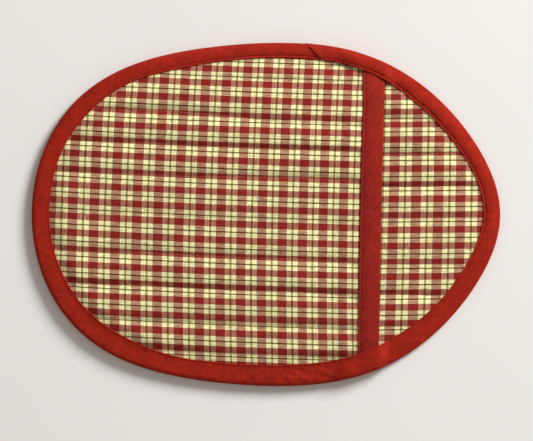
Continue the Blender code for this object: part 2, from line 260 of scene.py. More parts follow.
# ---------------------------------------------------------------- meshes
def add_mesh(name, vertices, faces, material, cloth_uv=None):
    mesh = bpy.data.meshes.new(name)
    mesh.from_pydata(vertices.tolist(), [], faces.tolist() if isinstance(faces, np.ndarray) else faces)
    mesh.shade_smooth()
    if cloth_uv is not None:
        corner = np.empty(len(mesh.loops), np.int32)
        mesh.loops.foreach_get("vertex_index", corner)
        layer = mesh.uv_layers.new(name="cloth")
        layer.data.foreach_set("uv", cloth_uv[corner].astype(np.float32).ravel())
    mesh.materials.append(material)
    piece = bpy.data.objects.new(name, mesh)
    bpy.context.scene.collection.objects.link(piece)
    return piece


def grid_faces(rows, columns, first=0, flip=False):
    """Quads of a grid of points, counted from first."""
    at = first + np.arange(rows * columns).reshape(rows, columns)
    quads = np.stack([at[:-1, :-1], at[:-1, 1:], at[1:, 1:], at[1:, :-1]], axis=-1).reshape(-1, 4)
    return quads[:, ::-1] if flip else quads


def tube_faces(rows, columns):
    """Quads round a tube of points, each row joined back to its own start."""
    at = np.arange(rows * columns).reshape(rows, columns)
    at = np.concatenate([at, at[:, :1]], axis=1)
    return np.stack([at[:-1, :-1], at[:-1, 1:], at[1:, 1:], at[1:, :-1]], axis=-1).reshape(-1, 4)


def run_along(points):
    """Distance along a line of points, from its start."""
    steps = np.linalg.norm(np.diff(points, axis=0), axis=-1)
    return np.concatenate([[0.0], np.cumsum(steps)])


def closed_pad(name, plan, top, under, top_uv, under_uv, material):
    """A closed solid between two heights over one grid of points."""
    rows, columns = plan.shape[:2]
    count = rows * columns
    high = np.concatenate([plan, top[..., None]], axis=-1).reshape(-1, 3)
    low = np.concatenate([plan, under[..., None]], axis=-1).reshape(-1, 3)
    at = np.arange(count).reshape(rows, columns)
    rim = np.concatenate([at[0, :], at[1:, -1], at[-1, -2::-1], at[-2:0:-1, 0]])
    after = np.roll(rim, -1)
    side = np.stack([rim + count, after + count, after, rim], axis=-1)
    faces = np.vstack([grid_faces(rows, columns), grid_faces(rows, columns, count, True), side])
    uv = np.vstack([top_uv.reshape(-1, 2), under_uv.reshape(-1, 2)])
    return add_mesh(name, np.vstack([high, low]), faces, material, uv)


def row_places(lowest, highest):
    """Across-grain places of the rows, close together beside each quilted line."""
    offsets = np.array(ROW_OFFSETS) * MM
    offsets = np.concatenate([-offsets[:0:-1], offsets, [0.5 * QUILT_PITCH]])
    lines = QUILT_START + QUILT_PITCH * np.arange(-6, 7)
    places = (lines[:, None] + offsets).ravel()
    inside = places[(places > lowest + 0.3 * MM) & (places < highest - 0.3 * MM)]
    return np.concatenate([[lowest], inside, [highest]])


def grain_grid(fall, share, right_end):
    """Points in rows along the grain: (plan, place across the grain of each row)."""
    ring = inset(EDGE_ANGLES, np.full(len(EDGE_ANGLES), PAD_EDGE))
    across = ring[:, 1] + fall * (ring[:, 0] - GRAIN_MEETS_X)
    places = row_places(across.min() + 0.4 * MM, across.max() - 0.4 * MM)
    plan = np.empty((len(places), len(share), 2))
    for i, place in enumerate(places):
        side = across - place
        crossed = np.nonzero(side * np.roll(side, -1) <= 0.0)[0]
        part = side[crossed] / (side[crossed] - np.roll(side, -1)[crossed])
        xs = ring[crossed, 0] + part * (np.roll(ring[:, 0], -1)[crossed] - ring[crossed, 0])
        left, right = xs.min(), min(xs.max(), right_end(place))
        x = left + (right - left) * share
        plan[i, :, 0] = x
        plan[i, :, 1] = place - fall * (x - GRAIN_MEETS_X)
    return plan, places


def line_offset(plan, places, lines, turns):
    """How far the grain has wandered at each point, from the table of sewn lines."""
    at, left, right, _ = (np.array(column) * MM for column in zip(*lines))
    start, end = (np.interp(places, at, side)[:, None] for side in (left, right))
    return start + (end - start) * smooth(plan[..., 0], *turns)


def line_depth(places, lines):
    """How strongly the nearest sewn line pulls the cloth down."""
    return np.interp(places, [line[0] * MM for line in lines], [line[3] for line in lines])[:, None]


def off_line(places):
    """Signed distance from the nearest quilted line."""
    half = QUILT_PITCH / 2.0
    return (places - QUILT_START + half) % QUILT_PITCH - half


def valley(off, reach):
    return 0.5 + 0.5 * np.cos(np.pi * np.minimum(np.abs(off) / reach, 1.0))


def sewn_shape(off, sharp, broad):
    """Height lost beside a sewn line: a crease in a valley, both gentler on the side towards -Y."""
    below = off < 0.0
    crease = np.exp(-((np.abs(off) / np.where(below, *CREASE_REACH)) ** 1.25))
    return sharp * crease + broad * valley(off, np.where(below, *VALLEY_REACH))


def puckers(plan, off, seed):
    """Small gathers across each sewn line, dying out to either side."""
    near = np.exp(-((np.abs(off) / (3.6 * MM)) ** 1.5))
    line = np.round((plan[..., 1] + POCKET_GRAIN * plan[..., 0]) / QUILT_PITCH)
    stretched = np.stack([plan[..., 0] + 37.0 * MM * line, 0.3 * plan[..., 1]], axis=-1)
    return near * (0.6 * waves(stretched, 7.0 * MM, seed) + 0.4 * waves(stretched, 4.3 * MM, seed + 1))


def ripples(plan, seed):
    """Faint long ripples that run with the quilting."""
    return 0.09 * MM * waves(plan * (0.12, 1.0), 6.5 * MM, seed)


def stitch_dimples(x, off):
    """The cloth pulled down at each needle hole of a quilted line."""
    hole = 0.5 + 0.5 * np.cos(TURN * x / STITCH_PITCH)
    return hole**3 * np.exp(-((off / (0.55 * MM)) ** 2))


# ---------------------------------------------------------------- cloth coordinates, in repeats
WARP_REPEAT = 12.3  # in mm
WEFT_REPEAT = 8.99
LINING_SHIFT = 0.37  # of the repeat, from the pocket's outside to its inside


def pocket_cloth(plan, off, take_up):
    """Warp and weft repeats counted over the pocket's cloth. Lengths inside are in millimetres."""
    x, y = plan[..., 0] / MM, plan[..., 1] / MM
    y = y + take_up * (np.tanh(off / (0.9 * MM)) - off / (0.5 * QUILT_PITCH))
    u = 1.0383 * x - 0.0231 * y + 0.000278 * x**2 - 0.00026 * y**2 + 0.000036 * x * y + 8.45
    rows_at = (-80, -70, -60, -50, -38, -20, 0, 10, 20, 30, 50, 60, 72)
    wander = np.interp(y, rows_at, (0.3, -0.1, -0.5, -0.4, 0.3, 0.6, 0.25, 0.2, 0.6, 0.2, 0.35, 0.85, 0.4))
    v = 0.9773 * y + 0.0358 * x - 0.000095 * x**2 + 0.000057 * y**2 + 0.0000024 * y**3 - 7.54 + wander
    return np.stack([u / WARP_REPEAT, v / WEFT_REPEAT], axis=-1)


def pad_cloth(plan, off, take_up):
    x, y = plan[..., 0] / MM, plan[..., 1] / MM
    wander = np.interp(y, (-70, -45, -20, 0, 20, 45, 70), (2.5, 2.9, 3.0, 2.8, 2.9, 4.0, 6.8))
    y = y + take_up * (np.tanh(off / (0.9 * MM)) - off / (0.5 * QUILT_PITCH))
    u = 0.931 * x - 0.0389 * y + 0.00018 * x * y + 0.000103 * x**2 + 0.00006 * y**2 + 10.55
    v = y - 0.0087 * x + wander - 6.5
    return np.stack([u / WARP_REPEAT, v / WEFT_REPEAT], axis=-1)


# ---------------------------------------------------------------- the two quilted panels
def edge_loss(depth, thickness):
    """How much thinner a panel is at its raw edge, hidden in the binding."""
    return 0.4 * thickness * (1.0 - smooth(depth, PAD_EDGE, PAD_EDGE + 1.8 * MM))


def pad_heights(plan, places):
    depth = depth_of(plan)
    off = np.broadcast_to(off_line(places)[:, None], depth.shape)
    sewn = smooth(depth, PINCHED_TO, 17.0 * MM)
    free = smooth(depth, *PAD_DROP)
    lost = 0.5 * edge_loss(depth, PAD_RIM)
    top = pad_crown(plan, depth) - lost
    top = top - sewn * line_depth(places, PAD_LINES) * sewn_shape(off, *PAD_SEWN)
    top = top + sewn * (0.16 * MM * puckers(plan, off, 11) + 0.2 * MM * waves(plan, 42.0 * MM, 5))
    top = top + sewn * (ripples(plan, 6) - DIMPLE * stitch_dimples(plan[..., 0], off))
    raised = sewn_shape(off, UNDER_SEWN, 0.0) + UNDER_SEWN * valley(off, UNDER_REACH)
    raised = raised + 0.12 * MM * (1.0 + waves(plan, 38.0 * MM, 8))
    raised = raised + 0.1 * MM * (1.0 + puckers(plan, off, 15))
    raised = raised + UNDER_DIMPLE * stitch_dimples(plan[..., 0], off)
    under = (PAD_RIM_Z + lost) * (1.0 - free) + free * raised
    return top, np.maximum(under, 0.02 * MM)


def pocket_heights(plan, places):
    depth = depth_of(plan)
    off = np.broadcast_to(off_line(places)[:, None], depth.shape)
    from_strip = plan[..., 0] - mouth_x(plan[..., 1]) + STRIP_WIDTH
    sewn = smooth(depth, PINCHED_TO, 16.0 * MM) * (1.0 - smooth(from_strip, -5.0 * MM, 1.0 * MM))
    under = pocket_under(plan, depth)
    thickness = panel_thickness(plan, depth)
    top = under + thickness - edge_loss(depth, thickness)
    top = top - sewn * line_depth(places, POCKET_LINES) * sewn_shape(off, *POCKET_SEWN)
    top = top + sewn * (0.15 * MM * puckers(plan, off, 21) + 0.28 * MM * waves(plan, 47.0 * MM, 24))
    top = top + sewn * (ripples(plan, 26) - DIMPLE * stitch_dimples(plan[..., 0], off))
    return np.maximum(top, under + THINNEST), under


def dense_right(count, from_share, times):
    """Shares of a row, this many times closer together past from_share."""
    at = np.linspace(0.0, 1.0, 2001)
    pace = 1.0 + (times - 1.0) * smooth(at, from_share - 0.08, from_share)
    run = np.concatenate([[0.0], np.cumsum(0.5 * (pace[1:] + pace[:-1]))])
    return np.interp(np.linspace(0.0, run[-1], count), run, at)


def moved_rows(plan, places, lines, turns):
    """The grid with each row moved to where its sewn line really runs, and the rim left in place."""
    moved = plan.copy()
    inner = smooth(depth_of(plan), PAD_EDGE, 14.0 * MM)
    wander = 0.35 * MM * waves(plan * (1.0, 0.5), 60.0 * MM, 31)
    moved[..., 1] += inner * (line_offset(plan, places, lines, turns) + wander)
    return moved


def make_pad(material):
    plan, places = grain_grid(0.0, dense_right(PANEL_COLUMNS, 0.70, 3.0), lambda place: HALF_LENGTH)
    plan = moved_rows(plan, places, PAD_LINES, PAD_TURNS)
    top, under = pad_heights(plan, places)
    off = np.broadcast_to(off_line(places)[:, None], top.shape)
    lines, hidden = zip(*PAD_TAKE_UP)
    take_up = np.interp(places, np.array(lines) * MM, hidden)[:, None]
    uv = pad_cloth(plan, off, take_up)
    under_uv = pad_cloth(plan * (1.0, -1.0) + (4.3 * MM, 2.1 * MM), -off, UNDER_TAKE_UP)
    piece = closed_pad("pad_cover", plan, top, under, uv, under_uv, material)
    return piece, (plan, places, top, under)


def make_pocket(material):
    fall = POCKET_GRAIN

    def right_end(place):
        x = MOUTH_X - PANEL_BACK
        for _ in range(4):
            x = mouth_x(place - fall * (x - GRAIN_MEETS_X)) - PANEL_BACK
        return x

    plan, places = grain_grid(fall, np.linspace(0.0, 1.0, PANEL_COLUMNS), right_end)
    plan = moved_rows(plan, places, POCKET_LINES, POCKET_TURNS)
    top, under = pocket_heights(plan, places)
    off = np.broadcast_to(off_line(places)[:, None], top.shape)
    uv = pocket_cloth(plan, off, POCKET_TAKE_UP)
    piece = closed_pad("pocket_cover", plan, top, under, uv, uv + LINING_SHIFT, material)
    return piece, (plan, places, top, under)


# ---------------------------------------------------------------- folded cotton strips
def turned_edge():
    """How far out and up the cloth's middle goes as it turns back over a turned-in edge."""
    turn = np.radians(np.linspace(-90.0, 90.0, 7))[1:]
    return HEM * np.cos(turn), HEM * (1.0 + np.sin(turn))


def groove(from_seam):
    """Depth of the dent beside a row of stitches, as a share of its middle's."""
    return np.exp(-((from_seam / GROOVE_REACH) ** 2))


def normals_of(path):
    along = np.gradient(path, axis=1)
    along /= np.linalg.norm(along, axis=-1, keepdims=True)
    return np.stack([-along[..., 1], along[..., 0]], axis=-1)


def both_sides(path):
    """Closed sections from open paths of shape (stations, points, 2), half the cloth to each side."""
    away = normals_of(path) * 0.5 * CLOTH
    return np.concatenate([path + away, (path - away)[:, ::-1]], axis=1)


def side_by_side(parts, stations):
    """The parts of a section in one row for each station. A part with one row is the same for all."""
    return np.concatenate([np.broadcast_to(part, (stations, part.shape[-1])) for part in parts], axis=1)


def strip_mesh(name, sections, along, across, material):
    """A closed mesh through sections (stations, 2 x points, 3) whose two halves are the cloth's sides.

    Its cloth coordinates are the distances along it and across it, in millimetres.
    """
    stations, size = sections.shape[:2]
    at = np.arange(stations * size).reshape(stations, size)
    half = size // 2
    caps = []
    for row, flip in ((at[0], False), (at[-1], True)):
        near, far = row[:half], row[half:][::-1]
        cap = np.stack([near[:-1], far[:-1], far[1:], near[1:]], axis=-1)
        caps.append(cap[:, ::-1] if flip else cap)
    faces = np.vstack([tube_faces(stations, size), *caps])
    uv = np.stack(np.broadcast_arrays(along, np.concatenate([across, across[::-1]])), axis=-1) / MM
    return add_mesh(name, sections.reshape(-1, 3), faces, material, uv.reshape(-1, 2))


JOIN_OUTER = np.radians(80.4)  # the binding's lapped ends: its outer corner
JOIN_INNER = np.radians(75.6)  # and its inner one
LAP_START = np.radians(70.0)  # where the hidden end starts
LAP_LIFT = 0.62 * MM  # how far the other end is raised over it
EASED_AT = np.radians(280.0)  # where the binding has its strongest gathers

# How much wider the top flap was folded at places round the outline: degrees, then mm.
FLAP_EXTRA = (
    (0, 0.4), (10, 0.1), (20, 0.6), (32, 1.4), (47, 2.0), (60, 0.3), (90, -0.1), (102, 0.5),
    (112, 0.8), (125, 0.2), (145, 0.8), (165, 0.3), (180, 0.5), (200, 1.0), (214, 1.8), (230, 1.9),
    (250, 0.7), (268, 1.9), (285, 1.8), (300, 2.4), (318, 1.9), (335, 1.4), (350, 1.1), (360, 0.4),
)
# Soft creases pressed into the binding: from x, y to x, y in mm, then height in mm.
CREASES = (
    (29.0, -89.8, 39.9, -93.3, 0.5),
    (12.0, -95.0, 27.0, -94.6, 0.34),
    (17.0, -89.3, 26.5, -93.0, -0.3),
)


def creases(points):
    """Height added by the binding's few pressed creases."""
    total = 0.0
    for x0, y0, x1, y1, height in CREASES:
        start, end = np.array((x0, y0)) * MM, np.array((x1, y1)) * MM
        share = np.clip((points - start) @ (end - start) / ((end - start) ** 2).sum(), 0.0, 1.0)
        away = np.linalg.norm(points - start - share[..., None] * (end - start), axis=-1)
        total = total + height * MM * np.exp(-((away / (1.3 * MM)) ** 2))
    return total


def flap_width(angle):
    width = FLAP_WIDTH - FLAP_WIDER_BELOW * np.sin(angle) - FLAP_WIDER_LEFT * np.cos(angle)
    at, extra = zip(*FLAP_EXTRA)
    width = width + MM * np.interp(np.degrees(angle) % 360.0, at, extra)
    return width + MM * (0.16 * np.sin(5.0 * angle + 1.0) + 0.1 * np.sin(13.0 * angle + 0.4))


def pinches(angle, depth):
    """Slanting gathers in the binding, where it was eased round the curves."""
    slant = angle + 9.0 * (depth - 5.0 * MM) * np.sign(np.sin(angle + 2.0))
    steady = np.stack([slant * 110.0 * MM, np.zeros_like(slant)], axis=-1)
    strength = 0.5 + 0.5 * np.sin(2.0 * angle + 0.6) ** 2
    strength = strength + 0.9 * np.exp(-(((angle % TURN - EASED_AT) / 0.2) ** 2))
    return strength * (0.6 * waves(steady, 9.0 * MM, 41) + 0.4 * waves(steady, 4.5 * MM, 43))


def lap_lift(angle):
    """How far the binding's closing end is raised, as it comes to lie on the hidden one."""
    return LAP_LIFT * smooth(angle, TURN + LAP_START - 0.11, TURN + LAP_START - 0.01)


def binding_path(angle):
    """Section of the edge binding at each angle, as depth and height along the cloth's middle.

    It runs from the turned-in part of the top flap over the top, round the fold and back underneath.
    """
    stations = len(angle)
    angle = angle[:, None]
    width = flap_width(angle)
    uneven = np.cos(angle - TAPER_TURN)
    out, up = turned_edge()

    def lying_at(depth):
        """Height of the middle of a layer that lies on what the flap covers."""
        return stack_under_flap(inset(angle, depth)) + FLAP_GAP + 0.5 * CLOTH

    turned_d = np.minimum(width * np.linspace(TURNED_IN_TO, 1.0, 9), width - HEM)
    turned_z = lying_at(turned_d)
    hem_z = turned_z[:, -1:] + up
    turned_z = turned_z - 0.16 * MM * groove(width - turned_d - SEAM_IN)

    share = np.concatenate([np.linspace(0.0, 0.26, 11)[1:], np.linspace(0.26, 1.0, 15)[1:]])
    top_d = FOLD_DEPTH + (width - HEM - FOLD_DEPTH) * (1.0 - share)
    past = np.clip((width - SEAM_IN - top_d) / (width - SEAM_IN - FOLD_DEPTH), 0.0, 1.0)
    puff = MM * (FLAP_PUFF + PUFF_UNEVEN * uneven) * np.sin(np.pi * past)
    puff = puff + FLAP_GATHERS * MM * pinches(angle, top_d) * smooth(past, 0.0, 0.25)
    puff = puff + creases(inset(angle, top_d)) * smooth(past, 0.0, 0.2)
    pressed = MM * (FLAP_PRESSED + PRESSED_UNEVEN * uneven) * groove(width - top_d - SEAM_IN)
    top_z = lying_at(top_d) + LAYER + puff - pressed

    # The outer fold carries on at the top's own slope.
    high, low = top_z[:, -1:], 0.5 * CLOTH
    turn = np.radians(np.linspace(90.0, -90.0, 17))[1:-1]
    rounded = np.sign(np.sin(turn)) * np.abs(np.sin(turn)) ** 0.9
    fold_d = 0.5 * CLOTH + (FOLD_DEPTH - 0.5 * CLOTH) * (1.0 - np.abs(np.cos(turn)) ** 0.9)
    fold_z = 0.5 * (high + low) + 0.5 * (high - low) * rounded
    slope = (top_z[:, -1:] - top_z[:, -2:-1]) / (top_d[:, -1:] - top_d[:, -2:-1])
    fold_z = fold_z - slope * (FOLD_DEPTH - fold_d) * np.maximum(np.sin(turn), 0.0) ** 2

    hem_d = UNDER_FLAP_WIDTH - HEM
    under_d = np.linspace(FOLD_DEPTH, hem_d, 12)
    under_z = 0.5 * CLOTH + 0.12 * MM * groove(UNDER_FLAP_WIDTH - under_d - SEAM_IN)
    end_d = np.linspace(hem_d, UNDER_TURNED_TO, 7)[1:]
    end_z = np.full(len(end_d), 0.5 * CLOTH + LAYER)
    depths = [turned_d, width - HEM + out, top_d, fold_d, under_d, hem_d + out, end_d]
    heights = [turned_z, hem_z, top_z, fold_z, under_z, 0.5 * CLOTH + up, end_z]
    return np.stack([side_by_side(depths, stations), side_by_side(heights, stations)], axis=-1)


def make_edge(material):
    angle = np.linspace(LAP_START, TURN + 0.5 * (JOIN_OUTER + JOIN_INNER), EDGE_STATIONS)
    path = binding_path(angle)
    sections = both_sides(path)
    away = normals_of(path)
    away = np.concatenate([away, away[:, ::-1]], axis=1)
    share = np.linspace(0.0, 1.0, path.shape[1])
    share = np.concatenate([share, share[::-1]])
    outside = (share > 0.19) & (share < 0.83)
    upper = smooth(sections[..., 1], 0.6 * MM, 2.2 * MM)
    upper = upper * (0.4 + 0.6 * smooth(sections[..., 0], 0.5 * MM, 3.0 * MM))
    lift = lap_lift(angle)[:, None] * outside * upper
    sections = sections - away * lift[..., None]
    tucked = (1.0 - smooth(angle, JOIN_OUTER, JOIN_OUTER + 0.12))[:, None] * (1.0 - upper)
    sections[..., 1] += LAP_LIFT * tucked
    slant = smooth(angle, TURN + JOIN_INNER - 0.2, TURN + JOIN_INNER)[:, None]
    slant = slant * (0.5 - np.clip(sections[..., 0] / FLAP_WIDTH, 0.0, 1.1))
    plan = inset(angle[:, None] + (JOIN_OUTER - JOIN_INNER) * slant, sections[..., 0])
    solid = np.concatenate([plan, sections[..., 1:]], axis=-1)
    run, wide = run_along(outline(angle)), run_along(path[0])
    return strip_mesh("edge_strip", solid, run[:, None], wide, material), (wide[-1], run[-1])


def reach_of(back):
    """Where a line this far back from the mouth's fold comes to the strip's end, at -Y and +Y."""
    found = []
    for side in (-1.0, 1.0):
        ys = side * np.linspace(60.0, 99.0, 400) * MM
        inside = depth_of(np.stack([mouth_x(ys) - back, ys], axis=-1)) > STRIP_END
        found.append(ys[inside][-1])
    return found


def make_mouth(material):
    share = np.linspace(0.0, 1.0, MOUTH_STATIONS)[:, None]
    measured_at = np.array((0.0, 6.0, 12.0)) * MM
    lows, highs = zip(*(reach_of(back) for back in measured_at))

    def ends_at(back):
        return np.interp(back, measured_at, lows), np.interp(back, measured_at, highs)

    def station_y(back):
        low, high = ends_at(back)
        return low + (high - low) * share

    def place(back):
        y = station_y(back)
        return np.stack([mouth_x(y) - back, y], axis=-1)

    def panel(back):
        """Heights of the pocket panel's underside and top, this far back from the strip's fold."""
        held = place(np.maximum(back, PANEL_BACK))
        depth = depth_of(held)
        under = pocket_under(held, depth)
        return under, under + panel_thickness(held, depth)

    away = STRIP_GAP + 0.5 * CLOTH
    out, up = turned_edge()
    hem_b = STRIP_WIDTH - HEM
    turned_b = np.linspace(STRIP_TURNED_TO, hem_b, 8)
    turned_z = panel(turned_b)[1] + away
    bend = STRIP_WIDTH - 2.2 * MM
    top_b = np.concatenate([np.linspace(hem_b, bend, 9)[1:], np.linspace(bend, STRIP_FOLD, 13)[1:]])
    past = np.clip((STRIP_WIDTH - SEAM_IN - top_b) / (STRIP_WIDTH - SEAM_IN - STRIP_FOLD), 0.0, 1.0)
    ripple = waves(place(top_b) * (0.5, 1.0), 11.0 * MM, 61)
    top_z = panel(top_b)[1] + away + LAYER - 0.12 * MM * groove(STRIP_WIDTH - top_b - SEAM_IN)
    top_z = top_z + STRIP_PUFF * MM * np.sin(np.pi * past**0.8)
    top_z = top_z + STRIP_RIPPLES * MM * ripple * smooth(past, 0.0, 0.3)
    under_b = np.linspace(STRIP_FOLD, hem_b, 10)
    under_z = panel(under_b)[0] - away - LAYER
    high, low = top_z[:, -1:], under_z[:, :1]
    turn = np.radians(np.linspace(90.0, -90.0, 15))[1:-1]
    fold_b = STRIP_FOLD - (STRIP_FOLD - 0.5 * CLOTH) * np.abs(np.cos(turn)) ** 0.9
    fold_z = 0.5 * (high + low) + 0.5 * (high - low) * np.sin(turn)
    end_b = turned_b[::-1][1:]
    end_z = panel(end_b)[0] - away
    backs = [turned_b, hem_b + out, top_b, fold_b, under_b, hem_b + out, end_b]
    heights = [turned_z, turned_z[:, -1:] + up, top_z, fold_z, under_z, under_z[:, -1:] + up, end_z]
    path = np.stack([side_by_side(backs, len(share)), side_by_side(heights, len(share))], axis=-1)
    sections = both_sides(path)
    y = station_y(sections[..., 0])
    wider = 1.0 + STRIP_WIDER * smooth(y, 62.0 * MM, 84.0 * MM)
    solid = np.stack([mouth_x(y) - wider * sections[..., 0], y, sections[..., 1]], axis=-1)
    wide = run_along(path[len(path) // 2])
    low_end, high_end = ends_at(sections[0, 0, 0])
    return strip_mesh("mouth_strip", solid, y, wide, material), (wide[-1], high_end - low_end)


# ---------------------------------------------------------------- stitches
def add_stitches(name, middles, alongs, up, material, length=STITCH_LENGTH, radius=THREAD):
    """Short arched stitches as one joined mesh, each with its ends pulled down into the cloth."""
    turns = np.linspace(0.0, TURN, 6, endpoint=False)
    steps = np.array((-1.0, -0.86, -0.5, 0.0, 0.5, 0.86, 1.0))
    thick = np.array((0.25, 0.8, 1.0, 1.0, 1.0, 0.8, 0.25))
    sink = -1.3 * radius * np.abs(steps) ** 3
    across = np.cross(alongs, (0.0, 0.0, up))
    across /= np.linalg.norm(across, axis=1, keepdims=True)
    ups = np.cross(across, alongs)
    spine = middles[:, None] + alongs[:, None] * (0.5 * length * steps)[None, :, None]
    spine = spine + ups[:, None] * sink[None, :, None]
    ring = across[:, None, None] * np.cos(turns)[:, None] + ups[:, None, None] * np.sin(turns)[:, None]
    rings = spine[:, :, None] + ring * (radius * thick)[None, :, None, None]
    first = len(steps) * len(turns) * np.arange(len(middles))[:, None]
    last = first + (len(steps) - 1) * len(turns)
    faces = (tube_faces(len(steps), len(turns)) + first[..., None]).reshape(-1, 4).tolist()
    round_once = np.arange(len(turns))
    faces += (first + round_once[::-1]).tolist() + (last + round_once).tolist()
    return add_mesh(name, rings.reshape(-1, 3), faces, material)


def along_line(points, seed):
    """Middles and directions of the stitches along a line of points."""
    run = run_along(points)
    draw = np.random.default_rng(seed)
    at = np.arange(0.5 * STITCH_PITCH, run[-1] - 0.5 * STITCH_PITCH, STITCH_PITCH)
    at = at + draw.normal(0.0, 0.05 * STITCH_PITCH, len(at))

    def point(where):
        return np.stack([np.interp(where, run, points[:, i]) for i in range(3)], axis=1)

    alongs = point(at + 0.3 * MM) - point(at - 0.3 * MM)
    return point(at), alongs / np.linalg.norm(alongs, axis=1, keepdims=True)


def quilt_rows(name, plan, places, surface, up, shows, material):
    """Stitches on every quilted line of a panel, where they show."""
    middles, alongs = [], []
    for line in np.nonzero(np.abs(off_line(places)) < 1e-6)[0]:
        row = np.column_stack([plan[line], surface[line]])
        kept = shows(row)
        if kept.sum() < 12:
            continue
        found = along_line(row[kept], 71 + int(line))
        middles.append(found[0])
        alongs.append(found[1])
    middles = np.vstack(middles) + (0.0, 0.0, up * QUILTING_PROUD)
    return add_stitches(name, middles, np.vstack(alongs), up, material, radius=QUILT_THREAD)


def edge_row(name, angles, depth, height, up, material):
    points = np.column_stack([inset(angles, depth), height])
    return add_stitches(name, *along_line(points, 83), up, material, EDGE_STITCH_LENGTH)


# ---------------------------------------------------------------- materials
class Nodes:
    """Shader nodes written as expressions."""

    def __init__(self, name):
        self.material = bpy.data.materials.new(name)
        self.material.use_nodes = True
        self.tree = self.material.node_tree
        self.shader = self.tree.nodes["Principled BSDF"]

    def put(self, socket, value):
        if isinstance(value, bpy.types.NodeSocket):
            self.tree.links.new(value, socket)
        else:
            socket.default_value = value

    def add(self, kind, output=0, settings=None, **inputs):
        node = self.tree.nodes.new(kind)
        for key, value in (settings or {}).items():
            setattr(node, key, value)
        for key, value in inputs.items():
            self.put(node.inputs[key.replace("_", " ")], value)
        return node.outputs[output]

    def math(self, operation, *values):
        node = self.tree.nodes.new("ShaderNodeMath")
        node.operation = operation
        for socket, value in zip(node.inputs, values):
            self.put(socket, value)
        return node.outputs[0]

    def ramp(self, value, low, high, to_low=0.0, to_high=1.0):
        node = self.tree.nodes.new("ShaderNodeMapRange")
        node.interpolation_type = "SMOOTHSTEP"
        for socket, number in zip(node.inputs[:5], (value, low, high, to_low, to_high)):
            self.put(socket, number)
        return node.outputs[0]

    def mix(self, factor, first, second, blend="MIX"):
        node = self.tree.nodes.new("ShaderNodeMix")
        node.data_type = "RGBA"
        node.blend_type = blend
        self.put(node.inputs[0], factor)
        self.put(node.inputs[6], first)
        self.put(node.inputs[7], second)
        return node.outputs[2]

    def noise(self, vector, scale, detail=2.0, roughness=0.5):
        inputs = {"Vector": vector, "Scale": scale, "Detail": detail, "Roughness": roughness}
        return self.add("ShaderNodeTexNoise", **inputs)

    def vector(self, x, y, z=0.0):
        return self.add("ShaderNodeCombineXYZ", X=x, Y=y, Z=z)

    def cloth_place(self):
        """The cloth's own two coordinates."""
        split = self.tree.nodes.new("ShaderNodeSeparateXYZ")
        self.put(split.inputs[0], self.add("ShaderNodeUVMap", settings={"uv_map": "cloth"}))
        return split.outputs[0], split.outputs[1]

    def bump(self, height, distance, strength):
        node = self.tree.nodes.new("ShaderNodeBump")
        node.inputs["Strength"].default_value = strength
        node.inputs["Distance"].default_value = distance
        self.put(node.inputs["Height"], height)
        return node.outputs[0]


CREAM = (0.95, 0.89, 0.47, 1.0)
RED = (0.27, 0.0185, 0.0125, 1.0)
OLIVE = (0.14, 0.12, 0.015, 1.0)
OLIVE_WEFT = (0.035, 0.028, 0.002, 1.0)
# What a cream thread's colour is multiplied by where it crosses one of another colour: painted shade
# between the threads, and painted red light bounced off the red ones.
BESIDE_RED_WEFT = (0.65, 0.43, 0.54, 1.0)
BESIDE_RED_WARP = (0.65, 0.5, 0.57, 1.0)
BESIDE_OLIVE = (0.62, 0.61, 0.47, 1.0)
BESIDE_OLIVE_WEFT = (0.43, 0.41, 0.24, 1.0)
OLIVE_ON_RED = (0.95, 0.68, 0.9, 1.0)  # and the colour seen where olive crosses red
# Threads in a repeat, half the olive stripe's and half the cream stripe's, and the stripes' middle.
WARP_STRIPES = (31.0, 1.5, 8.5, 0.0)
WEFT_STRIPES = (24.0, 1.0, 7.0, 0.5)


